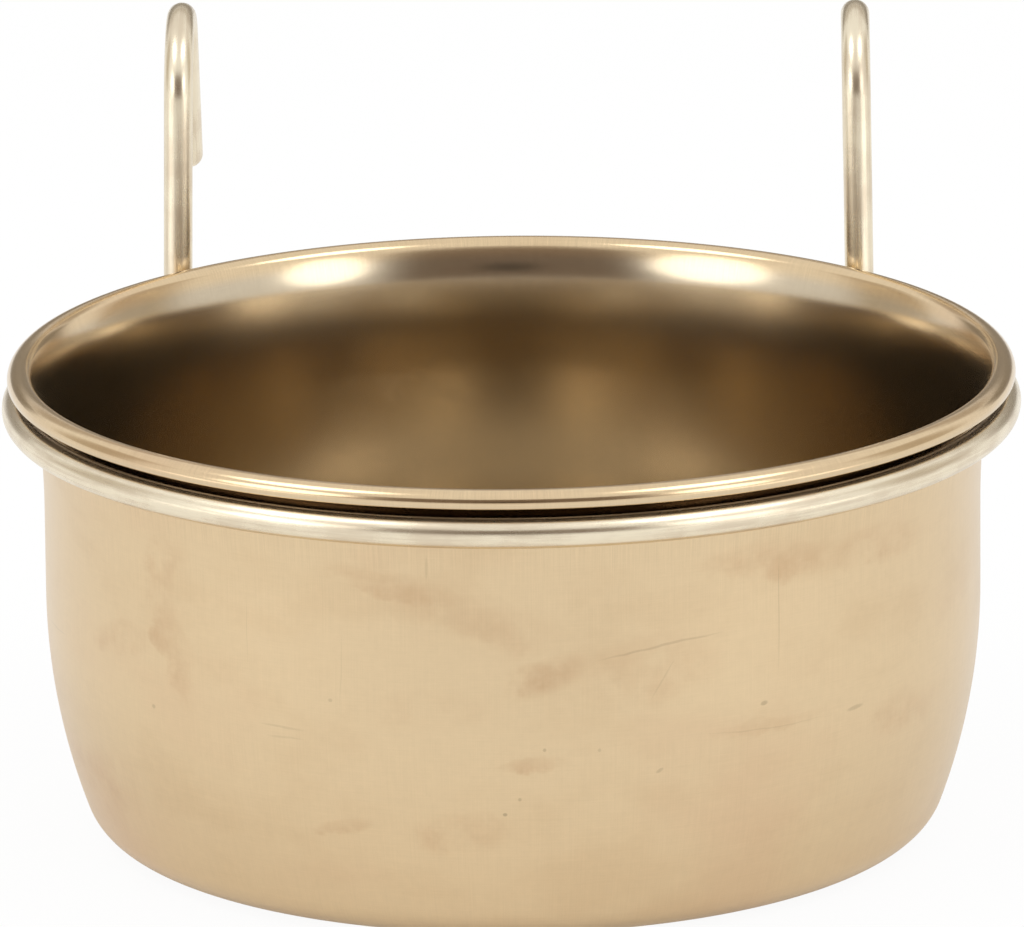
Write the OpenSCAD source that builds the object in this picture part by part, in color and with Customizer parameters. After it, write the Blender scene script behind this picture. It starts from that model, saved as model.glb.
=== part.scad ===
// Seed cup: a deep-drawn steel cup that hangs by its rolled rim in a wire ring with two hooks.
// The origin is the centre of the cup's flat base. +Z is up, the hooks are on the +Y side.

/* [Cup] */
// Outer diameter of the rolled rim
rim_diameter = 120; // [100:1:150]
// Height from the flat base to the top of the rim
cup_height = 57; // [50:1:80]
// Thickness of the steel sheet
sheet = 0.7; // [0.5:0.05:0.9]
// Outer radius of the half-round roll along the rim
rim_roll = 1.5; // [1.2:0.05:1.8]
// Angle by which the roll's free edge turns down past level
lip_angle = 14; // [0:1:30]
// How far the straight wall lies in from the rim's outer edge
wall_inset = 4.2; // [3.9:0.1:4.6]
// Slope from vertical that the wall's long flare reaches
flare_angle = 8.5; // [7.5:0.5:10]
// Radius of the bend between the flare and the roll, to the outer face
lip_bend = 14.3; // [10:0.1:18]
// Slope from vertical at which that bend meets the roll
lip_slope = 24; // [20:1:28]
// Height at which the straight wall starts to curve in
wall_curve_height = 29.5; // [24:0.5:34]
// Radius of the wall's long lower curve
side_radius = 75; // [60:1:110]
// Outer radius of the corner between wall and base
corner_radius = 6; // [4:0.5:9]

/* [Ring holder] */
// Diameter of the steel wire of the ring
ring_wire_diameter = 3.6; // [2.8:0.1:4]
// How far the ring's centreline lies below the centre of the rim's roll
ring_drop = 3.6; // [3.4:0.1:4.2]
// Clear gap between the cup's flare and the ring it is wedged in
seat_gap = 0.35; // [0.15:0.05:0.5]
// Width of the weld bead that closes the ring
seam_bead_width = 3; // [2:0.1:5]
// Height of that bead above the wire
seam_bead_height = 0.25; // [0.15:0.05:0.4]
// Hair gap between a weld and the wires it holds
weld_skin = 0.04; // [0.02:0.01:0.06]

/* [Hooks] */
// Diameter of the steel wire of the hooks
hook_wire_diameter = 3.5; // [2.8:0.1:4]
// Distance between the centrelines of the two legs
hook_spacing = 83.4; // [70:0.2:88]
// Length of the leg from the ring's centreline up to the arch
leg_length = 24.9; // [20:0.1:36]
// Angle by which the leg leans back from upright
leg_lean = 5.5; // [2:0.5:8]
// Angle by which the two legs lean towards each other
leg_splay = 0.7; // [0.1:0.1:1.5]
// Centreline radius of the arch
arch_radius = 9; // [7:0.1:11]
// Angle through which the arch bends the wire
arch_turn = 139; // [130:1:175]
// Straight length of the drop behind the arch
drop_length = 22.5; // [14:0.5:26]
// How far the leg reaches below the ring's centreline
leg_tail = 5; // [4:0.5:9]
// Round on the leg's sawn lower end
leg_end_round = 0.5; // [0.2:0.1:0.9]
// Gap between the leg and the ring, filled by the weld
weld_gap = 0.1; // [0.08:0.01:0.2]
// Radius of the weld bead between the leg and the ring
weld_radius = 2.3; // [2:0.1:2.6]

/* [Hidden] */
// Facets round the cup and the ring, and round a wire
turn_facets = 360;
wire_facets = 72;
// Steps along each short bend and each long curve of the cup's outline
bend_steps = 6;
roll_steps = 20;
curve_steps = 8;
// Swelling of the wire where the arch meets the drop, which joins the two into one solid
joint_swell = 0.02;

rim_radius = rim_diameter / 2;
roll_radius = rim_radius - rim_roll;
roll_z = cup_height - rim_roll;
wall_radius = rim_radius - wall_inset;
lip_offset = lip_bend - rim_roll + sheet;
lip_centre = roll_radius + lip_offset * cos(lip_slope);
lip_centre_z = roll_z - lip_offset * sin(lip_slope);
flare_radius = (lip_centre - lip_bend * cos(flare_angle) - wall_radius) / (1 - cos(flare_angle));
flare_centre = wall_radius + flare_radius;
flare_start = lip_centre_z - (flare_radius - lip_bend) * sin(flare_angle);
side_centre = wall_radius - side_radius;
side_turn = asin((wall_curve_height - corner_radius) / (side_radius - corner_radius));
corner_centre = side_centre + (side_radius - corner_radius) * cos(side_turn);

ring_wire_radius = ring_wire_diameter / 2;
ring_z = roll_z - ring_drop;
seat_reach = flare_radius - seat_gap - ring_wire_radius;
ring_radius = flare_centre - sqrt(pow(seat_reach, 2) - pow(ring_z - flare_start, 2));

hook_wire_radius = hook_wire_diameter / 2;
leg_x = hook_spacing / 2;
leg_distance = ring_radius + ring_wire_radius + weld_gap + hook_wire_radius;
leg_y = sqrt(pow(leg_distance, 2) - pow(leg_x, 2));
leg_bearing = atan2(leg_y, leg_x);
weld_distance = ring_radius + ring_wire_radius + weld_gap / 2;

// Points on an arc, as [radius from the axis, height]
function arc(centre, radius, from, to, steps) =
    [for (i = [0:steps])
        let (a = from + (to - from) * i / steps)
        [centre[0] + radius * cos(a), centre[1] + radius * sin(a)]];

// One face of the sheet from the base's centre up to the free edge of the roll.
// inset is the distance from the outer face: zero for that face, the sheet's thickness for the inner one.
function cup_face(inset) = concat(
    [[0, inset]],
    arc([corner_centre, corner_radius], corner_radius - inset, -90, -side_turn, bend_steps),
    arc([side_centre, wall_curve_height], side_radius - inset, -side_turn, 0, curve_steps),
    arc([flare_centre, flare_start], flare_radius + inset, 180, 180 - flare_angle, curve_steps),
    arc([lip_centre, lip_centre_z], lip_bend + inset, 180 - flare_angle, 180 - lip_slope, bend_steps),
    arc([roll_radius, roll_z], rim_roll - sheet + inset, 180 - lip_slope, -lip_angle, roll_steps));

function reversed(points) = [for (i = [len(points) - 1:-1:0]) points[i]];

module cup() {
    color([0.83, 0.73, 0.58])
        rotate_extrude($fn = turn_facets)
            polygon(concat(cup_face(0), reversed(cup_face(sheet))));
}

// The ring's wire. skin thickens it on all sides.
module ring_form(skin) {
    translate([0, 0, ring_z])
        rotate_extrude($fn = turn_facets)
            translate([ring_radius, 0])
                circle(r = ring_wire_radius + skin, $fn = wire_facets);
}

module ring_wire() {
    color([0.86, 0.79, 0.68])
        ring_form(0);
}

// The collar of metal that the butt weld pushes out round the wire, at the back
module ring_seam_weld() {
    seam_turn = 2 * asin(seam_bead_width / 2 / ring_radius);
    color([0.72, 0.62, 0.5])
        translate([0, 0, ring_z])
            rotate([0, 0, 90 - seam_turn / 2])
                rotate_extrude(angle = seam_turn, $fn = turn_facets)
                    translate([ring_radius, 0])
                        difference() {
                            circle(r = ring_wire_radius + seam_bead_height, $fn = wire_facets);
                            circle(r = ring_wire_radius + weld_skin, $fn = wire_facets);
                        }
}

// Stands its children on the ring's centreline as the hook stands there.
// side is -1 for the left hook and 1 for the right one.
module stand(side) {
    translate([side * leg_x, leg_y, ring_z])
        rotate([-leg_lean, -side * leg_splay, 0])
            children();
}

module leg(side, skin) {
    stand(side)
        translate([0, 0, leg_end_round - leg_tail])
            cylinder(r = hook_wire_radius + skin, h = leg_length + leg_tail - leg_end_round, $fn = wire_facets);
}

// The arch and the drop lie in a plane of their own, with the arch's centre at its origin
module arch_and_drop() {
    rotate_extrude(angle = arch_turn, $fn = turn_facets)
        translate([arch_radius, 0])
            circle(r = hook_wire_radius, $fn = wire_facets);
    rotate([0, 0, arch_turn])
        translate([arch_radius, 0, 0])
            rotate([-90, 0, 0]) {
                sphere(r = hook_wire_radius + joint_swell, $fn = wire_facets);
                cylinder(r = hook_wire_radius, h = drop_length, $fn = wire_facets);
                translate([0, 0, drop_length])
                    sphere(r = hook_wire_radius, $fn = wire_facets);
            }
}

module hook(side) {
    color([0.86, 0.79, 0.68])
        union() {
            leg(side, 0);
            stand(side) {
                translate([0, 0, -leg_tail])
                    cylinder(r1 = hook_wire_radius - leg_end_round, r2 = hook_wire_radius,
                        h = leg_end_round, $fn = wire_facets);
                translate([0, arch_radius, leg_length])
                    rotate([90, 0, -90])
                        arch_and_drop();
            }
        }
}

module left_hook() hook(-1);
module right_hook() hook(1);

// The weld fills the two grooves between the leg and the ring
module hook_weld(side) {
    color([0.72, 0.62, 0.5])
        difference() {
            rotate([0, 0, 90 - side * (90 - leg_bearing)])
                translate([weld_distance, 0, ring_z])
                    rotate([0, 90, 0])
                        sphere(r = weld_radius, $fn = wire_facets);
            ring_form(weld_skin);
            leg(side, weld_skin);
        }
}

module left_weld() hook_weld(-1);
module right_weld() hook_weld(1);

cup();
ring_wire();
ring_seam_weld();
left_hook();
right_hook();
left_weld();
right_weld();
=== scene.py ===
import math
import bmesh
import bpy
from mathutils import Matrix, Vector, noise


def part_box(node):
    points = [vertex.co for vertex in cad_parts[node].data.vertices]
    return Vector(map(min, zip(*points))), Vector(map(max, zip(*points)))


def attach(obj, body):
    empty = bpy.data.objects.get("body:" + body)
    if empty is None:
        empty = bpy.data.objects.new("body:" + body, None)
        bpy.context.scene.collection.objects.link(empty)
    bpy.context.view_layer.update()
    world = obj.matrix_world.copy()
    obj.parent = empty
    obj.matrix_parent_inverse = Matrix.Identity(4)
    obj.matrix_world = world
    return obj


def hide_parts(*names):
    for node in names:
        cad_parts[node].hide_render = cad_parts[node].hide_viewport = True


# A steel seed cup that sits by its flare in a wire ring with two hooks
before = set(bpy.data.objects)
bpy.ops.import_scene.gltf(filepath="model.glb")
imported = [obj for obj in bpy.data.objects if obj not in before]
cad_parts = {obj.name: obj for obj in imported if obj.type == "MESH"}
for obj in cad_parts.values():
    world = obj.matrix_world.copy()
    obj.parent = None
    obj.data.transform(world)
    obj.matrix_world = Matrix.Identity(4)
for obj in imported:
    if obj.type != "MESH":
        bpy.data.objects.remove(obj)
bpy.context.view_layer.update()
mm = 0.001
scene = bpy.context.scene
scene.view_settings.view_transform = "Standard"

# Camera

shot = dict(
    imageWidth=1024,            # pixels of the photograph
    focalPixels=13426,          # focal length in those pixels
    sensorWidth=36,             # millimetres
    distance=1.6,               # from the target to the lens
    elevation=15.38,            # degrees above level
    bearing=1.25,               # degrees round towards +X
    roll=0.56,                  # degrees, right side of the picture up
    targetBelowRim=12.97 * mm,
)


def placeCamera(spec, rimTop):
    up = math.radians(spec["elevation"])
    side = math.radians(spec["bearing"])
    away = Vector((math.sin(side) * math.cos(up), -math.cos(side) * math.cos(up), math.sin(up)))
    target = Vector((0, 0, rimTop - spec["targetBelowRim"]))
    data = bpy.data.cameras.new("shotCamera")
    data.sensor_width = spec["sensorWidth"]
    data.lens = spec["focalPixels"] / spec["imageWidth"] * spec["sensorWidth"]
    camera = bpy.data.objects.new("shotCamera", data)
    scene.collection.objects.link(camera)
    aim = (-away).to_track_quat("-Z", "Y").to_matrix()
    aim = aim @ Matrix.Rotation(-math.radians(spec["roll"]), 3, "Z")
    camera.matrix_world = Matrix.Translation(target + away * spec["distance"]) @ aim.to_4x4()
    scene.camera = camera


placeCamera(shot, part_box("cup")[1][2])
print("camera placed")

# Shader tools


class Link:
    # One output socket. Sums and products on it add Math nodes.
    def __init__(self, tree, socket):
        self.tree = tree
        self.socket = socket

    def math(self, operation, *values):
        return addNode(self.tree, "ShaderNodeMath", dict(operation=operation), values)

    def __add__(self, other):
        return self.math("ADD", self, other)

    def __radd__(self, other):
        return self.math("ADD", other, self)

    def __sub__(self, other):
        return self.math("SUBTRACT", self, other)

    def __rsub__(self, other):
        return self.math("SUBTRACT", other, self)

    def __mul__(self, other):
        return self.math("MULTIPLY", self, other)

    def __truediv__(self, other):
        return self.math("DIVIDE", self, other)

    def __pow__(self, other):
        return self.math("POWER", self, other)

    def atLeast(self, other):
        return self.math("MAXIMUM", self, other)

    def atMost(self, other):
        return self.math("MINIMUM", self, other)

    def size(self):
        return self.math("ABSOLUTE", self)


def addNode(tree, kind, settings=(), values=(), output=0):
    # settings go on the node first, then values on its sockets by place or by name
    node = tree.nodes.new(kind)
    for name, value in dict(settings).items():
        setattr(node, name, value)
    pairs = values.items() if isinstance(values, dict) else enumerate(values)
    for name, value in pairs:
        socket = node.inputs[name]
        if isinstance(value, Link):
            tree.links.new(value.socket, socket)
        elif value is not None:
            socket.default_value = value
    return Link(tree, node.outputs[output])


def mixColour(tree, amount, first, second, blend="MIX"):
    settings = dict(data_type="RGBA", blend_type=blend)
    return addNode(tree, "ShaderNodeMix", settings, {0: amount, 6: first, 7: second}, 2)


def mixTones(tree, amount, first, second):
    # the tones are links, or colours as light
    sides = [tone if isinstance(tone, Link) else (*tone, 1) for tone in (first, second)]
    return mixColour(tree, amount, *sides)


def smoothStep(tree, value, low, high):
    settings = dict(interpolation_type="SMOOTHSTEP")
    values = {"Value": value, "From Min": low, "From Max": high}
    return addNode(tree, "ShaderNodeMapRange", settings, values)


def speckle(tree, place, scale, detail=2, roughness=0.5):
    # fractal noise from 0 to 1, its middle at a half
    values = {"Vector": place, "Scale": scale, "Detail": detail, "Roughness": roughness}
    return addNode(tree, "ShaderNodeTexNoise", {}, values)


def joinVector(tree, *values):
    return addNode(tree, "ShaderNodeCombineXYZ", {}, values)


def splitVector(tree, vector):
    split = tree.nodes.new("ShaderNodeSeparateXYZ")
    tree.links.new(vector.socket, split.inputs[0])
    return [Link(tree, part) for part in split.outputs]


def feed(shader, name, value):
    # a link into one socket of the shader
    value.tree.links.new(value.socket, shader.inputs[name])


def ownValue(tree, name):
    # a value that the mesh stores at its points
    return addNode(tree, "ShaderNodeAttribute", dict(attribute_name=name), {}, "Fac")


def newMaterial(name):
    material = bpy.data.materials.new(name)
    material.use_nodes = True
    tree = material.node_tree
    shader = tree.nodes["Principled BSDF"]
    place = addNode(tree, "ShaderNodeTexCoord", {}, {}, "Object")
    return material, tree, shader, place


def finishMetal(tree, shader, spec, relief):
    # bare metal with a fine relief
    shader.inputs["Metallic"].default_value = 1
    values = {"Strength": spec["reliefStrength"], "Distance": spec["reliefHeight"], "Height": relief}
    feed(shader, "Normal", addNode(tree, "ShaderNodeBump", {}, values))


def linear(*screenColour):
    # a colour as it looks on a screen, from 0 to 255 and not near black, as light
    return tuple(((channel / 255 + 0.055) / 1.055) ** 2.4 for channel in screenColour)


# Studio

studio = dict(
    floorSize=8.0,
    floorColour=(0.94, 0.94, 0.93),
    floorRoughness=0.9,
    floorDrop=0.1 * mm,          # how far it lies below the cup's base
    floorGlow=0.93,              # share of plain white in what the camera sees of the floor
    floorNearGlow=0.24,          # the same in what the metal mirrors of it, close to the cup
    floorMirrorGlow=0.55,        # and that a little way from the cup
    floorFarGlow=0.9,            # and that far from the cup
    shadeShift=0.022,            # how far the middle of the cup's own shade lies to the left
    nearReach=(0.045, 0.14),     # where the close floor ends
    farReach=(0.3, 0.7),         # where the far floor starts
    paintedPoolGlow=1.1,               # how much brighter the far floor looks in the metal in the two painted pools of light
    poolFront=(0.15, 0.4),       # where a pool starts beside the line to the camera, as 1 less a cosine
    poolSide=(0.02, 0.3),        # and where it ends beside the line across, as a cosine
    diffuseLight=0.9,            # strength of the world on the floor
    # bearing from the camera's side and elevation in degrees, width, height, and how bright it looks
    lamps=(
        (-51, 20, 0.66, 0.5, 1.7),
        (49, 20, 0.46, 0.5, 1.7),
        (-66, 58, 0.6, 0.5, 2.2),
        (66, 58, 0.6, 0.5, 2.2),
    ),
    lampDistance=1.2,
    aimHeight=0.04,              # height that the lamps and the hood face
    hoodDistance=1.75,           # dark hood round the camera
    hoodElevation=15.4,
    hoodWidth=0.62,
    hoodHeight=0.34,
    hoodLight=(0.02, 0.02, 0.018),
    hoodSoft=(0.9, 0.9),         # shares of half the width and half the height that fade, here and below
    screenDistance=1.85,         # dim brown room behind the camera
    screenWidth=3.3,
    screenFoot=0.13,
    screenTop=1.4,
    screenLight=(0.23, 0.18, 0.145),
    screenSoft=(0.5, 0.1),
    sideBearing=106,             # pale walls left and right
    sideDistance=1.5,
    sideWidth=1.1,
    sideHeight=1.1,
    sideLight=(0.62, 0.56, 0.48),
    sideSoft=(0.7, 0.3),
    backDistance=1.6,            # dim wall behind the cup, darker at its foot
    backWidth=3.4,
    backHeights=(0.03, 0.72, 1.4),
    backLights=((0.30, 0.27, 0.23), (0.55, 0.5, 0.44)),
    backSoft=(0.3, 0.3),
)


def around(bearing, elevation, distance):
    # a place round the cup, the bearing counted from the camera's side towards +X
    side = math.radians(bearing)
    up = math.radians(elevation)
    flat = distance * math.cos(up)
    return Vector((flat * math.sin(side), -flat * math.cos(side), distance * math.sin(up)))


def aimAt(thing, place, level):
    # faces the cup's axis at the height of level
    aim = (Vector((0, 0, level)) - place).to_track_quat("-Z", "Y")
    thing.matrix_world = Matrix.Translation(place) @ aim.to_matrix().to_4x4()


def standAt(card, bearing, distance, level):
    # upright, facing the cup's axis
    aimAt(card, around(bearing, 0, distance) + Vector((0, 0, level)), level)


def addLamp(name, place, level, width, height, glow):
    # an elliptic lamp that looks glow times as bright as white
    data = bpy.data.lights.new(name, "AREA")
    data.shape = "ELLIPSE"
    data.size = width
    data.size_y = height
    area = math.pi / 4 * width * height
    data.energy = glow * math.pi * area
    lamp = bpy.data.objects.new(name, data)
    scene.collection.objects.link(lamp)
    aimAt(lamp, place, level)


def addCard(name, width, height, material):
    mesh = bpy.data.meshes.new(name)
    x, y = width / 2, height / 2
    mesh.from_pydata([(-x, -y, 0), (x, -y, 0), (x, y, 0), (-x, y, 0)], [], [(0, 1, 2, 3)])
    mesh.materials.append(material)
    card = bpy.data.objects.new(name, mesh)
    scene.collection.objects.link(card)
    return card


def addScreen(name, width, height, light, soft):
    # a card that only the metal mirrors, its edges fading over a share of its half width and half height
    material, tree, shader, place = newMaterial(name)
    x, y = splitVector(tree, place)[:2]
    acrossFade = smoothStep(tree, 1 - x.size() * (2 / width), 0, soft[0])
    share = acrossFade * smoothStep(tree, 1 - y.size() * (2 / height), 0, soft[1])
    clear = addNode(tree, "ShaderNodeBsdfTransparent")
    glow = addNode(tree, "ShaderNodeEmission", {}, {"Color": (*light, 1), "Strength": 1})
    both = addNode(tree, "ShaderNodeMixShader", {}, {0: share, 1: clear, 2: glow})
    tree.links.new(both.socket, tree.nodes["Material Output"].inputs["Surface"])
    card = addCard(name, width, height, material)
    card.visible_camera = False
    card.visible_shadow = False
    card.visible_diffuse = False
    return card


def rayKinds(tree):
    # whether the camera sees the surface straight, in a mirror, or through something clear
    ray = tree.nodes.new("ShaderNodeLightPath")
    return [Link(tree, ray.outputs["Is %s Ray" % kind]) for kind in ("Camera", "Glossy", "Transmission")]


def paleFloor(spec):
    material, tree, shader, place = newMaterial("paleFloor")
    shader.inputs["Base Color"].default_value = (*spec["floorColour"], 1)
    shader.inputs["Roughness"].default_value = spec["floorRoughness"]
    seen, mirrored, through = rayKinds(tree)
    shift = (spec["shadeShift"], 0, 0)
    shifted = addNode(tree, "ShaderNodeVectorMath", dict(operation="ADD"), [place, shift])
    away = addNode(tree, "ShaderNodeVectorMath", dict(operation="LENGTH"), [shifted], "Value")
    far = smoothStep(tree, away, *spec["nearReach"])
    farther = smoothStep(tree, away, *spec["farReach"])
    mirrorGlow = spec["floorNearGlow"] + far * (spec["floorMirrorGlow"] - spec["floorNearGlow"])
    mirrorGlow = mirrorGlow + farther * (spec["floorFarGlow"] - spec["floorMirrorGlow"])
    share = seen * spec["floorGlow"] + (mirrored + through) * mirrorGlow
    # painted pools of light under the lamps, a glow that only the metal mirrors
    y = splitVector(tree, place)[1]
    facing = y * -1 / away.atLeast(1 * mm)
    aside = smoothStep(tree, 1 - facing, *spec["poolFront"]) * smoothStep(tree, facing, *spec["poolSide"])
    bright = 1 + mirrored * farther * aside * spec["paintedPoolGlow"]
    tone = joinVector(tree, bright, bright, bright)
    glow = addNode(tree, "ShaderNodeEmission", {}, {"Color": tone, "Strength": 1})
    both = addNode(tree, "ShaderNodeMixShader", {}, {0: share, 1: Link(tree, shader.outputs[0]), 2: glow})
    tree.links.new(both.socket, tree.nodes["Material Output"].inputs["Surface"])
    return material


def whiteWorld(spec):
    world = bpy.data.worlds.new("whiteRoom")
    world.use_nodes = True
    tree = world.node_tree
    seen, mirrored, through = rayKinds(tree)
    plain = (seen + mirrored + through).atMost(1)
    strength = spec["diffuseLight"] + plain * (1 - spec["diffuseLight"])
    background = tree.nodes["Background"]
    background.inputs["Color"].default_value = (1, 1, 1, 1)
    tree.links.new(strength.socket, background.inputs["Strength"])
    scene.world = world


def buildStudio(spec):
    whiteWorld(spec)
    floor = addCard("floor", spec["floorSize"], spec["floorSize"], paleFloor(spec))
    floor.location = (0, 0, -spec["floorDrop"])
    for bearing, elevation, width, height, glow in spec["lamps"]:
        place = around(bearing, elevation, spec["lampDistance"])
        addLamp("softLamp", place, spec["aimHeight"], width, height, glow)
    width, height = spec["hoodWidth"], spec["hoodHeight"]
    hood = addScreen("cameraHood", width, height, spec["hoodLight"], spec["hoodSoft"])
    aimAt(hood, around(shot["bearing"], spec["hoodElevation"], spec["hoodDistance"]), spec["aimHeight"])
    width, height = spec["screenWidth"], spec["screenTop"] - spec["screenFoot"]
    front = addScreen("roomFront", width, height, spec["screenLight"], spec["screenSoft"])
    standAt(front, 0, spec["screenDistance"], spec["screenFoot"] + height / 2)
    width, height = spec["sideWidth"], spec["sideHeight"]
    for side in (-1, 1):
        wall = addScreen("roomSide", width, height, spec["sideLight"], spec["sideSoft"])
        standAt(wall, side * spec["sideBearing"], spec["sideDistance"], height / 2)
    for foot, top, light in zip(spec["backHeights"], spec["backHeights"][1:], spec["backLights"]):
        back = addScreen("roomBack", spec["backWidth"], top - foot, light, spec["backSoft"])
        standAt(back, 180, spec["backDistance"], (foot + top) / 2)


buildStudio(studio)
print("studio built")

# Steel of the cup

cupSteel = dict(
    paleTone=linear(219, 195, 158),
    deepTone=linear(204, 176, 138),
    rosyTone=linear(208, 170, 138),
    innerLightTint=linear(202, 187, 162),    # painted tint for the light inside the cup, greyer than the outside
    smudgeTone=linear(198, 164, 128),
    lipShadeTone=linear(138, 120, 100),   # painted shade in the recess under the lip, part grime
    roughness=0.30,
    innerRoughness=0.17,
    wallRadius=55.8 * mm,
    baseEdge=(44 * mm, 48 * mm),        # where the rings on the base give way to the hairs on the wall
    fadingTop=(38 * mm, 49 * mm),       # the hairs grow stronger up to here
    sleekTop=(49 * mm, 52 * mm),        # the lip is as smooth as the inside
    hairWidth=0.10 * mm,                # fine hairs up the wall
    hairLength=9 * mm,
    turnedWidth=0.35 * mm,              # rings on the base
    brushWidth=0.11 * mm,               # brushing round the wall
    brushLength=5 * mm,
    sheetDepth=4 * mm,                  # how slowly each of these changes in its third direction
    blotchScale=52,                     # broad and slow tints, ragged outlines and fine dust
    slowScale=24,
    edgeScale=300,
    dustScale=900,
    deepRange=(0.45, 0.7),              # noise over which each tint comes in, and its full strength
    deepShare=0.3,
    rosyRange=(0.48, 0.68),
    rosyShare=0.25,
    smudgeRange=(0.3, 0.75),
    smudgeShare=0.85,
    smudgeSway=((6 * mm, 12 * mm), (2.5 * mm, 7 * mm)),     # along and up the wall, ragged and broad
    nickSway=2 * mm,
    grainShade=0.1,
    topShade=0.16,
    brushShade=0.1,
    nickShade=0.16,
    speckShade=0.3,
    dustShade=0.06,
    reliefHeight=0.02 * mm,
    reliefStrength=0.16,
)

markReach = 1.8     # square of how far a mark fades out, in halves of its own length and width

# Marks on the wall: bearing in degrees, height, length and width in mm, tilt in degrees, depth
smudges = [
    (5.3, 33.4, 11.6, 4.1, 20, 1.0),
    (-1.5, 39.5, 17.0, 5.5, -12, 0.45),
    (-11.0, 44.0, 17.0, 3.2, -12, 0.7),
    (18.2, 33.5, 15.0, 6.5, 4, 0.55),
    (-45.2, 42.4, 6.0, 10.0, 0, 0.6),
    (-43.8, 32.5, 5.0, 11.0, 12, 0.7),
    (-55.0, 32.0, 12.0, 3.0, 8, 0.6),
    (36.3, 44.2, 20.0, 4.2, -5, 0.8),
    (52.0, 44.0, 14.0, 4.5, -6, 0.7),
    (-6.0, 13.8, 12.5, 5.0, 6, 0.75),
    (3.0, 22.4, 7.0, 1.4, 0, 0.9),
    (-20.0, 14.3, 7.2, 1.4, 8, 0.9),
    (-10.0, 29.0, 15.0, 5.0, 2, 0.3),
    (57.0, 22.0, 12.0, 5.0, -10, 0.5),
    (-62.0, 12.0, 16.0, 9.0, 10, 0.5),
    (33.5, 25.6, 16.0, 1.6, -3, 0.5),
    (104.0, 34.0, 16.0, 5.0, 10, 0.8),
    (140.0, 22.0, 14.0, 6.0, -12, 0.7),
    (-165.0, 38.0, 18.0, 4.0, 8, 0.8),
    (-118.0, 27.0, 15.0, 6.0, 14, 0.7),
    (-90.0, 40.0, 9.0, 5.0, -8, 0.6),
]
scratches = [
    (34.6, 38.9, 13.3, 0.14, 90, 0.9),
    (33.5, 24.9, 15.4, 0.16, -2, 0.5),
    (18.9, 36.6, 13.2, 0.3, 7, 0.9),
    (-27.7, 26.0, 5.3, 0.3, 1, 0.6),
    (-27.4, 24.8, 4.3, 0.26, 4, 0.5),
    (-19.9, 33.8, 7.2, 0.14, 89, 0.4),
    (-32.6, 37.1, 7.3, 0.14, 92, 0.4),
    (19.1, 32.5, 4.6, 0.2, 58, 0.5),
    (-9.0, 47.0, 2.5, 0.3, 88, 0.7),
    (100.0, 31.0, 16.0, 0.16, 14, 0.6),
    (160.0, 26.0, 12.0, 0.16, -22, 0.6),
    (-120.0, 36.0, 14.0, 0.16, 30, 0.6),
    (-75.0, 28.0, 9.0, 0.2, 4, 0.5),
]
specks = [
    (0.0, 16.9, 0.5, 0.4, 0, 1.0),
    (32.6, 28.0, 0.9, 0.5, 10, 0.8),
    (46.9, 24.8, 2.4, 0.5, 4, 0.6),
    (1.8, 18.8, 0.4, 0.4, 0, 0.7),
    (4.8, 24.9, 0.4, 0.4, 0, 0.7),
    (18.9, 21.5, 0.9, 0.4, 30, 0.6),
    (11.4, 24.6, 0.4, 0.4, 0, 0.5),
    (-21.2, 30.0, 0.5, 0.4, 0, 0.5),
    (-48.0, 25.0, 0.6, 0.5, 0, 0.6),
    (130.0, 33.0, 0.9, 0.5, 0, 0.8),
    (-150.0, 24.0, 0.7, 0.6, 0, 0.8),
]


def markMask(tree, along, height, mark, soft):
    # an ellipse with a soft edge, laid on the unrolled wall
    bearing, level, length, width, tilt, depth = mark
    c, s = math.cos(math.radians(tilt)), math.sin(math.radians(tilt))
    dx = along - math.radians(bearing) * cupSteel["wallRadius"]
    dz = height - level * mm
    u = (dx * c + dz * s) * (2 / (length * mm))
    v = (dz * c - dx * s) * (2 / (width * mm))
    return smoothStep(tree, u * u + v * v, markReach, soft) * depth


def laidMarks(tree, along, height, marks, soft):
    # the deepest of the marks at each place
    whole = None
    for mark in marks:
        mask = markMask(tree, along, height, mark, soft)
        whole = mask if whole is None else whole.atLeast(mask)
    return whole


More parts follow.
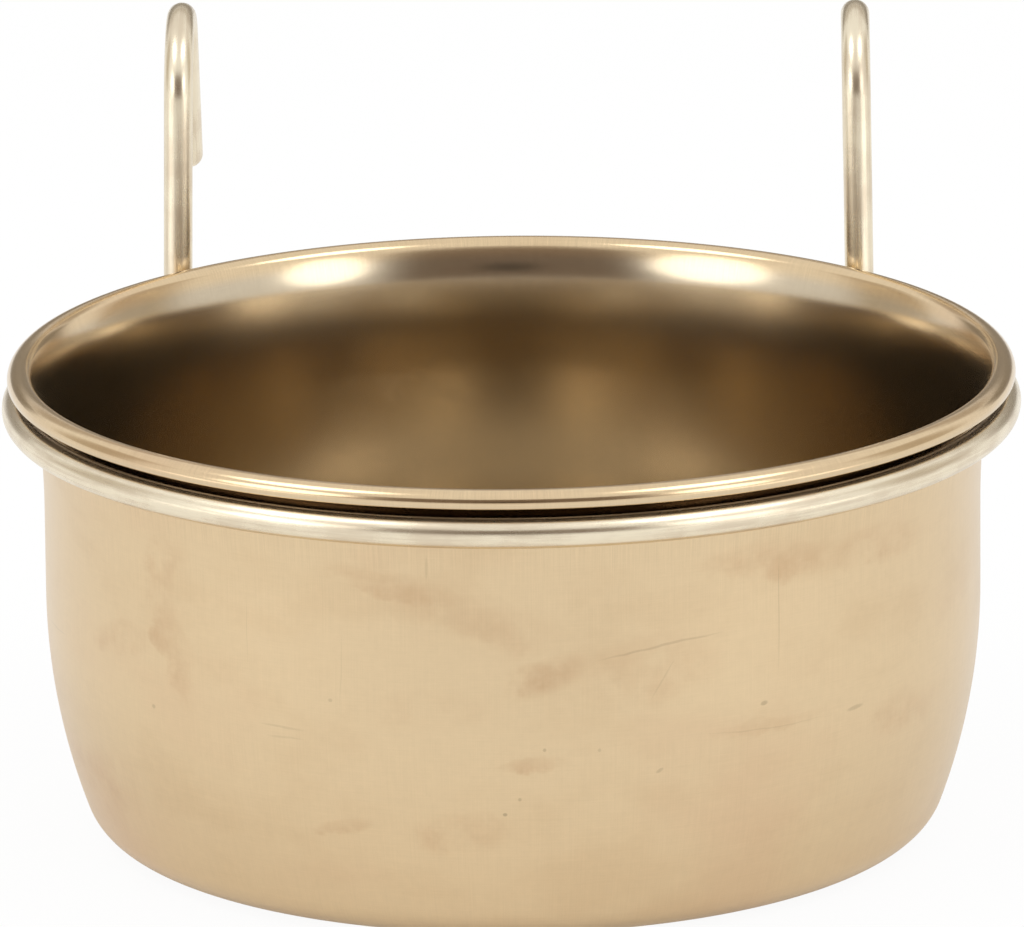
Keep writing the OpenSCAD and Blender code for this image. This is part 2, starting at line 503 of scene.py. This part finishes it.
def makeCupSteel(spec):
    material, tree, shader, place = newMaterial("cupSteel")
    x, y, z = splitVector(tree, place)
    angle = x.math("ARCTAN2", x, y * -1)
    along = angle * spec["wallRadius"]
    radius = (x * x + y * y) ** 0.5
    depth = spec["sheetDepth"]

    # short faint hairs up the wall, rings on the base, and brushing round the wall
    onBase = 1 - smoothStep(tree, radius, *spec["baseEdge"])
    hairPlace = joinVector(tree, along / spec["hairWidth"], z / spec["hairLength"], radius / depth)
    hairs = speckle(tree, hairPlace, 1, 3, 0.6)
    turnedPlace = joinVector(tree, radius / spec["turnedWidth"], angle * 0.8, z / depth)
    turned = speckle(tree, turnedPlace, 1, 3, 0.6)
    grain = hairs + (0.35 + turned * 0.3 - hairs) * onBase
    brushPlace = joinVector(tree, along / spec["brushLength"], z / spec["brushWidth"], radius / depth)
    brushed = speckle(tree, brushPlace, 1, 3, 0.65)
    nearTop = smoothStep(tree, z, *spec["fadingTop"])

    # broad tints
    warped = addNode(tree, "ShaderNodeVectorMath", dict(operation="MULTIPLY"), [place, (1, 1, 1.8)])
    blotch = speckle(tree, warped, spec["blotchScale"], 4, 0.6)
    elsewhere = addNode(tree, "ShaderNodeVectorMath", dict(operation="ADD"), [warped, (3, 1, 2)])
    slow = speckle(tree, elsewhere, spec["slowScale"], 3, 0.55)
    dust = speckle(tree, place, spec["dustScale"], 2, 0.6)
    edges = speckle(tree, place, spec["edgeScale"], 3, 0.6)
    deep = smoothStep(tree, blotch, *spec["deepRange"])
    rosy = smoothStep(tree, slow, *spec["rosyRange"])

    # the marks' outlines wander with the noise
    (raggedAlong, broadAlong), (raggedUp, broadUp) = spec["smudgeSway"]
    strayAlong = along + (edges - 0.5) * raggedAlong + (blotch - 0.5) * broadAlong
    strayHeight = z + (slow - 0.5) * broadUp + (edges - 0.5) * raggedUp
    dirt = laidMarks(tree, strayAlong, strayHeight, smudges, 0.0)
    dirt = dirt * smoothStep(tree, edges * 0.6 + blotch * 0.4, *spec["smudgeRange"])
    strayAlong = along + (slow - 0.5) * spec["nickSway"]
    strayHeight = z + (blotch - 0.5) * spec["nickSway"]
    nick = laidMarks(tree, strayAlong, strayHeight, scratches, 0.2)
    speck = laidMarks(tree, along, z, specks, 0.3)

    inner = ownValue(tree, "inner")
    tone = mixTones(tree, deep * spec["deepShare"], spec["paleTone"], spec["deepTone"])
    tone = mixTones(tree, rosy * spec["rosyShare"], tone, spec["rosyTone"])
    tone = mixTones(tree, dirt * spec["smudgeShare"], tone, spec["smudgeTone"])
    # the inside takes a greyer tint, painted to stand for the colour of the light within the cup
    tone = mixTones(tree, inner, tone, spec["innerLightTint"])
    # painted shade under the lip, part grime, darkens the outside there
    tone = mixTones(tree, ownValue(tree, "recess"), tone, spec["lipShadeTone"])
    shade = 1 - (grain - 0.5) * (spec["grainShade"] + nearTop * spec["topShade"])
    shade = shade - (brushed - 0.5) * spec["brushShade"] - (dust - 0.5) * spec["dustShade"]
    shade = shade - nick * spec["nickShade"] - speck * spec["speckShade"]
    feed(shader, "Base Color", mixColour(tree, 1.0, tone, joinVector(tree, shade, shade, shade), "MULTIPLY"))

    sleek = inner.atLeast(smoothStep(tree, z, *spec["sleekTop"]))
    rough = spec["roughness"] + sleek * (spec["innerRoughness"] - spec["roughness"])
    feed(shader, "Roughness", rough + (grain - 0.5) * 0.06 + (blotch - 0.5) * 0.06 + dirt * 0.08)
    relief = grain * (0.25 + nearTop * 0.35) + brushed * 0.2 - nick * 1.2 - speck
    finishMetal(tree, shader, spec, relief)
    return material


# Steel of the wires and of their welds

wireSteel = dict(
    tone=linear(234, 222, 197),
    dullTone=linear(204, 186, 162),
    roughness=0.27,
    streakWidth=0.22,           # as a share of the wire's radius
    streakLength=9 * mm,
    cloudScale=140,
    pitScale=2600,
    dullRange=(0.42, 0.62),     # noise over which the dull tone comes in, and its full strength
    dullShare=0.55,
    reliefHeight=0.02 * mm,
    reliefStrength=0.2,
)
weldSteel = dict(
    tone=linear(186, 170, 146),
    strawTone=linear(168, 128, 74),
    strawRange=(0.42, 0.6),
    blueTone=linear(96, 98, 118),
    blueRange=(0.58, 0.72),
    roughness=0.36,
    cloudScale=420,
    gritScale=3000,
    reliefHeight=0.05 * mm,
    reliefStrength=0.4,
)


def makeWireSteel(spec):
    material, tree, shader, place = newMaterial("wireSteel")
    cloud = speckle(tree, place, spec["cloudScale"], 3, 0.6)
    pits = speckle(tree, place, spec["pitScale"], 2, 0.6)
    across = ownValue(tree, "girthX") / spec["streakWidth"]
    up = ownValue(tree, "girthY") / spec["streakWidth"]
    streakPlace = joinVector(tree, across, up, ownValue(tree, "run") / spec["streakLength"])
    streak = speckle(tree, streakPlace, 1, 3, 0.6)
    dull = smoothStep(tree, cloud * 0.5 + streak * 0.5, *spec["dullRange"])
    feed(shader, "Base Color", mixTones(tree, dull * spec["dullShare"], spec["tone"], spec["dullTone"]))
    feed(shader, "Roughness", spec["roughness"] + (cloud - 0.5) * 0.16 + (streak - 0.5) * 0.12)
    finishMetal(tree, shader, spec, pits * 0.4 + streak * 1.2 + cloud * 0.6)
    return material


def makeWeldSteel(spec):
    material, tree, shader, place = newMaterial("weldSteel")
    cloud = speckle(tree, place, spec["cloudScale"], 3, 0.6)
    grit = speckle(tree, place, spec["gritScale"], 2, 0.6)
    tone = mixTones(tree, smoothStep(tree, cloud, *spec["strawRange"]), spec["tone"], spec["strawTone"])
    tone = mixTones(tree, smoothStep(tree, cloud, *spec["blueRange"]), tone, spec["blueTone"])
    feed(shader, "Base Color", tone)
    feed(shader, "Roughness", spec["roughness"] + (cloud - 0.5) * 0.3)
    finishMetal(tree, shader, spec, grit + cloud * 2)
    return material


steelOfCup = makeCupSteel(cupSteel)
steelOfWire = makeWireSteel(wireSteel)
steelOfWeld = makeWeldSteel(weldSteel)
print("steels mixed")

# Geometry node tools

samePlace = 1e-4 * mm           # points of a finished mesh that lie closer than this are one
shortestEdge = 1e-5 * mm


def newTree(name, inputs):
    tree = bpy.data.node_groups.new(name, "GeometryNodeTree")
    for label, kind in inputs:
        tree.interface.new_socket(label, in_out="INPUT", socket_type=kind)
    tree.interface.new_socket("Geometry", in_out="OUTPUT", socket_type="NodeSocketGeometry")
    entry = tree.nodes.new("NodeGroupInput")
    return tree, {label: Link(tree, entry.outputs[label]) for label, kind in inputs}


def storeValue(tree, shape, name, value):
    # keeps a value at the points of the shape, for its material to read
    settings = dict(data_type="FLOAT", domain="POINT")
    values = {"Geometry": shape, "Name": name, "Value": value}
    return addNode(tree, "GeometryNodeStoreNamedAttribute", settings, values)


def closeTree(tree, shape, material):
    whole = addNode(tree, "GeometryNodeRealizeInstances", {}, [shape])
    smooth = addNode(tree, "GeometryNodeSetShadeSmooth", {}, [whole])
    painted = addNode(tree, "GeometryNodeSetMaterial", {}, {"Geometry": smooth, "Material": material})
    leave = tree.nodes.new("NodeGroupOutput")
    tree.links.new(painted.socket, leave.inputs[0])


def bakeTree(name, tree, base, values):
    # runs the tree on base and keeps the result as a plain mesh of its own
    modifier = base.modifiers.new(name, "NODES")
    modifier.node_group = tree
    for item in tree.interface.items_tree:
        if item.item_type == "SOCKET" and item.in_out == "INPUT" and item.name in values:
            modifier[item.identifier] = values[item.name]
    graph = bpy.context.evaluated_depsgraph_get()
    mesh = bpy.data.meshes.new_from_object(base.evaluated_get(graph), depsgraph=graph)
    mesh.name = name
    base.modifiers.remove(modifier)
    bpy.data.objects.remove(base)
    piece = bpy.data.objects.new(name, mesh)
    scene.collection.objects.link(piece)
    faceOutwards(mesh)
    return piece


def faceOutwards(mesh):
    shape = bmesh.new()
    shape.from_mesh(mesh)
    bmesh.ops.remove_doubles(shape, verts=shape.verts, dist=samePlace)
    bmesh.ops.dissolve_degenerate(shape, edges=shape.edges, dist=shortestEdge)
    if shape.calc_volume(signed=True) < 0:
        bmesh.ops.reverse_faces(shape, faces=shape.faces)
    for face in shape.faces:
        face.smooth = True
    shape.to_mesh(mesh)
    shape.free()


def pathObject(name, points, radii, closed):
    data = bpy.data.curves.new(name, "CURVE")
    data.dimensions = "3D"
    data.twist_mode = "MINIMUM"
    spline = data.splines.new("POLY")
    spline.use_cyclic_u = closed
    spline.points.add(len(points) - 1)
    for place, point, radius in zip(spline.points, points, radii):
        place.co = (*point, 1)
        place.radius = radius
    path = bpy.data.objects.new(name, data)
    scene.collection.objects.link(path)
    return path


def settle(piece, node, body):
    # the piece stands for a node of the frame and rides on its body
    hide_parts(node)
    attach(piece, body)


# Cup

cupForm = dict(
    sheet=0.7 * mm,
    roll=1.5 * mm,              # outer radius of the rolled rim
    lipAngle=14,                # degrees past level at the roll's free edge
    wallInset=4.2 * mm,         # from the rim's outer edge to the straight wall
    flareAngle=8.5,             # slope from vertical that the long flare reaches
    lipBend=14.3 * mm,          # between the flare and the roll
    lipSlope=24,                # slope from vertical where that bend meets the roll
    wallCurveHeight=29.5 * mm,
    sideRadius=75 * mm,
    corner=6.0 * mm,
    unevenness=0.05 * mm,       # how far the rim is out of round
    sways=((2, 0.7), (3, 2.1)),     # waves round the rim and where each starts, in radians
    lipShadeFoot=51.5 * mm,       # height from which the outside takes the painted shade, under the lip
    lipShadeFade=0.6,             # share of the roll over which the painted shade ends
    innerTop=54.3 * mm,         # height up to which the inside takes its greyer painted tint and its smoother finish
    toneFade=1.6 * mm,
    turnSteps=240,
    baseSteps=14,
    cornerSteps=22,
    sideSteps=22,
    wallSteps=6,
    flareSteps=14,
    bendSteps=10,
    rollSteps=30,
    edgeSteps=8,
    samePoint=1e-3 * mm,        # points of the spun profile that lie closer than this are one
)


def smooth(t):
    t = min(max(t, 0), 1)
    return t * t * (3 - 2 * t)


def arc(centre, radius, start, end, steps, skip=0):
    # points from one angle to another, in degrees, without the first when skip is 1
    points = []
    for i in range(skip, steps + 1):
        a = math.radians(start + (end - start) * i / steps)
        points.append((centre[0] + radius * math.cos(a), centre[1] + radius * math.sin(a)))
    return points


def cupFace(spec, rimRadius, rimTop, inset):
    # one face of the sheet, as radius and height, from the middle of the base to the free edge
    roll, sheet, lip = spec["roll"], spec["sheet"], spec["lipBend"]
    lean, slope = spec["flareAngle"], spec["lipSlope"]
    wallRadius = rimRadius - spec["wallInset"]
    offset = lip - roll + sheet
    lipX = rimRadius - roll + offset * math.cos(math.radians(slope))
    lipZ = rimTop - roll - offset * math.sin(math.radians(slope))
    flare = (lipX - lip * math.cos(math.radians(lean)) - wallRadius) / (1 - math.cos(math.radians(lean)))
    flareX = wallRadius + flare
    flareZ = lipZ - (flare - lip) * math.sin(math.radians(lean))
    sideCentre = wallRadius - spec["sideRadius"]
    reach = spec["sideRadius"] - spec["corner"]
    turn = math.degrees(math.asin((spec["wallCurveHeight"] - spec["corner"]) / reach))
    cornerCentre = sideCentre + reach * math.cos(math.radians(turn))
    base = [(cornerCentre * i / spec["baseSteps"], inset) for i in range(spec["baseSteps"])]
    foot = arc((cornerCentre, spec["corner"]), spec["corner"] - inset, -90, -turn, spec["cornerSteps"])
    level = spec["wallCurveHeight"]
    side = arc((sideCentre, level), spec["sideRadius"] - inset, -turn, 0, spec["sideSteps"], 1)
    steps = spec["wallSteps"]
    wallTop = [(wallRadius - inset, level + (flareZ - level) * i / steps) for i in range(1, steps)]
    lower = arc((flareX, flareZ), flare + inset, 180, 180 - lean, spec["flareSteps"])
    upper = arc((lipX, lipZ), lip + inset, 180 - lean, 180 - slope, spec["bendSteps"], 1)
    rollCentre = (rimRadius - roll, rimTop - roll)
    rolled = arc(rollCentre, roll - sheet + inset, 180 - slope, -spec["lipAngle"], spec["rollSteps"], 1)
    points = base + foot + side + wallTop + lower + upper + rolled
    # how far each point belongs to the inside with its greyer painted tint, or to the painted shade under
    # the lip
    inner, recess = [], []
    for radius, height in points:
        up = smooth((height - spec["lipShadeFoot"]) / spec["toneFade"])
        out = smooth((rimRadius - radius) / (roll * spec["lipShadeFade"]))
        inner.append(1 - smooth((height - spec["innerTop"]) / spec["toneFade"]) if inset else 0)
        recess.append(0 if inset else up * out)
    return points, inner, recess


def cupProfile(spec, rimRadius, rimTop):
    outside = cupFace(spec, rimRadius, rimTop, 0)
    inside = cupFace(spec, rimRadius, rimTop, spec["sheet"])
    # the sheet's sheared edge, rounded
    a = math.radians(-spec["lipAngle"])
    middle = spec["roll"] - spec["sheet"] / 2
    centre = (rimRadius - spec["roll"] + middle * math.cos(a), rimTop - spec["roll"] + middle * math.sin(a))
    edge = arc(centre, spec["sheet"] / 2, 180 - spec["lipAngle"], 360 - spec["lipAngle"], spec["edgeSteps"])
    bare = [0] * (len(edge) - 2)
    points = outside[0] + edge[1:-1] + inside[0][::-1]
    return points, outside[1] + bare + inside[1][::-1], outside[2] + bare + inside[2][::-1]


def spinTree(spec):
    # spins the outline of an object round the upright axis
    tree, given = newTree("spinProfile", [
        ("Profile", "NodeSocketObject"), ("Turn Steps", "NodeSocketInt"),
        ("Unevenness", "NodeSocketFloat"), ("Material", "NodeSocketMaterial")])
    outline = addNode(tree, "GeometryNodeObjectInfo", {}, {"Object": given["Profile"]}, "Geometry")
    settings = dict(component="MESH")
    count = addNode(tree, "GeometryNodeAttributeDomainSize", settings, [outline], "Point Count")
    gridValues = {"Size X": 1, "Size Y": 1, "Vertices X": given["Turn Steps"] + 1, "Vertices Y": count}
    grid = addNode(tree, "GeometryNodeMeshGrid", {}, gridValues)
    place = addNode(tree, "GeometryNodeInputPosition")
    x, y = splitVector(tree, place)[:2]
    across = x + 0.5
    row = (y + 0.5) * (count - 1)
    row = row.math("ROUND", row)

    def atRow(kind, value):
        # what the outline's point of this row holds
        settings = dict(data_type=kind, domain="POINT")
        values = {"Geometry": outline, "Value": value, "Index": row}
        return addNode(tree, "GeometryNodeSampleIndex", settings, values)

    radius, height = splitVector(tree, atRow("FLOAT_VECTOR", place))[::2]
    marked = grid
    for name in ("inner", "recess"):
        stored = addNode(tree, "GeometryNodeInputNamedAttribute", dict(data_type="FLOAT"), {"Name": name})
        marked = storeValue(tree, marked, name, atRow("FLOAT", stored))
    angle = across * math.tau
    first, second = (angle.math("SINE", angle * waves + start) for waves, start in spec["sways"])
    # both waves together are at most 2, and only draw the wall in
    radius = radius * (1 + (first + second - 2) * given["Unevenness"] * height)
    x, y = radius * angle.math("COSINE", angle), radius * angle.math("SINE", angle)
    values = {"Geometry": marked, "Position": joinVector(tree, x, y, height)}
    placed = addNode(tree, "GeometryNodeSetPosition", {}, values)
    values = {"Geometry": placed, "Distance": spec["samePoint"]}
    closed = addNode(tree, "GeometryNodeMergeByDistance", {}, values)
    closeTree(tree, closed, given["Material"])
    return tree


def emptyBase(name):
    base = bpy.data.objects.new(name, bpy.data.meshes.new(name))
    scene.collection.objects.link(base)
    return base


def buildCup(spec):
    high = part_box("cup")[1]
    rimRadius, rimTop = high[0], high[2]
    points, inner, recess = cupProfile(spec, rimRadius, rimTop)
    mesh = bpy.data.meshes.new("cupOutline")
    mesh.from_pydata([(r, 0, z) for r, z in points], [], [])
    for name, values in (("inner", inner), ("recess", recess)):
        mesh.attributes.new(name, "FLOAT", "POINT").data.foreach_set("value", values)
    outline = bpy.data.objects.new("cupOutline", mesh)
    scene.collection.objects.link(outline)
    values = {
        "Profile": outline, "Turn Steps": spec["turnSteps"],
        "Unevenness": spec["unevenness"] / (rimRadius * rimTop) / 2, "Material": steelOfCup}
    cup = bakeTree("seedCup", spinTree(spec), emptyBase("cupBase"), values)
    bpy.data.objects.remove(outline)
    settle(cup, "cup", "cup")
    return cup


cup = buildCup(cupForm)
print("cup spun: %d faces" % len(cup.data.polygons))

# Wires

wireForm = dict(
    sides=40,
    ringSteps=240,
    hookRadius=1.75 * mm,
    spacing=83.4 * mm,          # between the two legs where they cross the ring
    weldGap=0.1 * mm,
    legLength=24.9 * mm,        # from the ring up to the arch
    legTail=5.0 * mm,           # below the ring
    lean=5.5,                   # degrees back from upright
    splay=0.7,                  # degrees towards the other leg
    archRadius=9.0 * mm,
    archTurn=139,               # degrees
    dropLength=22.5 * mm,
    tailRound=0.5 * mm,         # round on the sawn lower end of a leg
    tailSteps=5,
    legSteps=20,
    archSteps=48,
    dropSteps=12,
    tipSteps=10,
    leastShare=0.02,            # of the wire's radius, at the very tip
)


def wireTree():
    tree, given = newTree("drawnWire", [
        ("Geometry", "NodeSocketGeometry"), ("Wire Radius", "NodeSocketFloat"),
        ("Sides", "NodeSocketInt"), ("Material", "NodeSocketMaterial")])
    girth = addNode(tree, "GeometryNodeCurvePrimitiveCircle", {}, {
        "Resolution": given["Sides"], "Radius": given["Wire Radius"]})
    turn = addNode(tree, "GeometryNodeSplineParameter", {}, {}, "Factor") * math.tau
    girth = storeValue(tree, girth, "girthX", turn.math("COSINE", turn))
    girth = storeValue(tree, girth, "girthY", turn.math("SINE", turn))
    length = addNode(tree, "GeometryNodeSplineParameter", {}, {}, "Length")
    run = storeValue(tree, given["Geometry"], "run", length)
    thickness = addNode(tree, "GeometryNodeInputRadius")
    values = {"Curve": run, "Profile Curve": girth, "Scale": thickness, "Fill Caps": True}
    sweep = addNode(tree, "GeometryNodeCurveToMesh", {}, values)
    closeTree(tree, sweep, given["Material"])
    return tree


wireMaker = wireTree()


def sweepWire(name, points, radii, wireRadius, material, closed=False):
    # radii are shares of the wire's radius
    path = pathObject(name + "Path", points, radii, closed)
    values = {"Wire Radius": wireRadius, "Sides": wireForm["sides"], "Material": material}
    return bakeTree(name, wireMaker, path, values)


def buildRing(spec):
    low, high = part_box("ring_wire")
    wireRadius = (high[2] - low[2]) / 2
    ringRadius = high[0] - wireRadius
    level = (high[2] + low[2]) / 2
    steps = spec["ringSteps"]
    # it starts at the back, where the seam weld covers its ends
    turns = [math.tau * (i / steps + 0.25) for i in range(steps)]
    points = [(ringRadius * math.cos(a), ringRadius * math.sin(a), level) for a in turns]
    ring = sweepWire("ringWire", points, [1] * steps, wireRadius, steelOfWire, True)
    settle(ring, "ring_wire", "holder")
    return ringRadius, level, wireRadius


def roundEnd(start, direction, wireRadius, rounding, steps):
    # points and thicknesses that close a wire with a rounded end
    points, radii = [], []
    for i in range(steps + 1):
        a = math.pi / 2 * i / steps
        points.append(start + direction * rounding * math.sin(a))
        radii.append(max(1 - rounding / wireRadius * (1 - math.cos(a)), wireForm["leastShare"]))
    return points, radii


def buildHook(name, node, side, spec):
    # drawn in its own plane first, with y to the back and z along the leg.
    # Gives back where the leg crosses the ring, and the leg's direction.
    wireRadius = spec["hookRadius"]
    legX = spec["spacing"] / 2
    reach = ringRadius + ringWireRadius + spec["weldGap"] + wireRadius
    legY = math.sqrt(reach ** 2 - legX ** 2)
    stand = (Matrix.Translation((side * legX, legY, ringLevel))
             @ Matrix.Rotation(-side * math.radians(spec["splay"]), 4, "Y")
             @ Matrix.Rotation(-math.radians(spec["lean"]), 4, "X"))
    down, bend = Vector((0, 0, -1)), spec["archRadius"]
    foot = down * (spec["legTail"] - spec["tailRound"])
    tail, tailRadii = roundEnd(foot, down, wireRadius, spec["tailRound"], spec["tailSteps"])
    points, radii = tail[::-1], tailRadii[::-1]
    legTop = Vector((0, 0, spec["legLength"]))
    points += [foot.lerp(legTop, i / spec["legSteps"]) for i in range(1, spec["legSteps"])]
    turn = math.radians(spec["archTurn"])
    for i in range(spec["archSteps"] + 1):
        a = turn * i / spec["archSteps"]
        points.append(legTop + Vector((0, 1 - math.cos(a), math.sin(a))) * bend)
    dropStart = points[-1]
    dropWay = Vector((0, math.sin(turn), math.cos(turn)))
    steps = spec["dropSteps"]
    points += [dropStart + dropWay * spec["dropLength"] * i / steps for i in range(1, steps)]
    radii += [1] * (len(points) - len(radii))
    dropEnd = dropStart + dropWay * spec["dropLength"]
    tip, tipRadii = roundEnd(dropEnd, dropWay, wireRadius, wireRadius, spec["tipSteps"])
    points = [stand @ point for point in points + tip]
    hook = sweepWire(name, points, radii + tipRadii, wireRadius, steelOfWire)
    settle(hook, node, "holder")
    return stand.translation.copy(), stand.to_3x3() @ Vector((0, 0, 1))


ringRadius, ringLevel, ringWireRadius = buildRing(wireForm)
sides = dict(left=-1, right=1)
legs = {name: buildHook(name + "Hook", name + "_hook", side, wireForm) for name, side in sides.items()}
print("wires drawn")

# Welds

weldForm = dict(
    fillet=1.5 * mm,            # how far the metal of the weld spreads over the two wires
    reach=2.28 * mm,            # farthest point of a bead from its middle
    sink=0.02 * mm,             # how far the bead lies under a wire where it ends
    ripple=0.06 * mm,
    rippleScale=900,            # ripples to a metre, roughly
    rippleShift=7,              # picks another stretch of the noise
    level=5,                    # subdivisions of the bead
    halvings=18,                # of the range in which a ray meets the bead's skin
    collarWidth=3.0 * mm,
    collarHeight=0.22 * mm,
    collarPlain=0.75,           # share of that height which is even
    collarWaves=5,              # for the rest, radians of a wave over half the width
    collarCurve=0.7,            # exponent of its rounded sides
    collarSteps=16,
)


def ringGap(p):
    return math.hypot(math.hypot(p.x, p.y) - ringRadius, p.z - ringLevel) - ringWireRadius


def legGap(p, foot, way):
    away = p - foot
    return (away - way * away.dot(way)).length - wireForm["hookRadius"]


def buildWeld(name, node, leg, spec):
    # rays from the middle of the joint end on a skin that fills the groove between leg and ring
    foot, way = leg
    flat = Vector((foot.x, foot.y, 0)).normalized()
    middle = flat * (ringRadius + ringWireRadius + wireForm["weldGap"] / 2) + Vector((0, 0, ringLevel))

    def skin(p):
        a, b = ringGap(p), legGap(p, foot, way)
        blend = max(spec["fillet"] - abs(a - b), 0) / spec["fillet"]
        shifted = p * spec["rippleScale"] + Vector((spec["rippleShift"], 0, 0))
        grain = noise.noise(shifted) * spec["ripple"]
        return min(a, b) - blend * blend * spec["fillet"] / 4 + spec["sink"] + grain * blend

    mesh = bpy.data.meshes.new(name)
    shape = bmesh.new()
    bmesh.ops.create_icosphere(shape, subdivisions=spec["level"], radius=1)
    for vert in shape.verts:
        ray = vert.co.normalized()
        near, far = 0.0, spec["reach"]
        if skin(middle + ray * far) > 0:
            for step in range(spec["halvings"]):
                half = (near + far) / 2
                if skin(middle + ray * half) > 0:
                    far = half
                else:
                    near = half
        vert.co = middle + ray * far
    for face in shape.faces:
        face.smooth = True
    shape.to_mesh(mesh)
    shape.free()
    mesh.materials.append(steelOfWeld)
    bead = bpy.data.objects.new(name, mesh)
    scene.collection.objects.link(bead)
    settle(bead, node, "holder")


def buildSeam(spec):
    # a low collar round the ring's wire at the back, where its two ends meet
    half = spec["collarWidth"] / 2 / ringRadius
    points, radii = [], []
    steps, plain = spec["collarSteps"], spec["collarPlain"]
    for i in range(steps + 1):
        t = 2 * i / steps - 1
        a = math.pi / 2 + half * t
        points.append((ringRadius * math.cos(a), ringRadius * math.sin(a), ringLevel))
        uneven = plain + (1 - plain) * math.cos(spec["collarWaves"] * t)
        height = spec["collarHeight"] * (1 - t * t) ** spec["collarCurve"] * uneven
        radii.append(1 + (height - spec["sink"]) / ringWireRadius)
    collar = sweepWire("ringSeamWeld", points, radii, ringWireRadius, steelOfWeld)
    settle(collar, "ring_seam_weld", "holder")


for name, leg in legs.items():
    buildWeld(name + "Weld", name + "_weld", leg, weldForm)
buildSeam(weldForm)
print("welds laid")
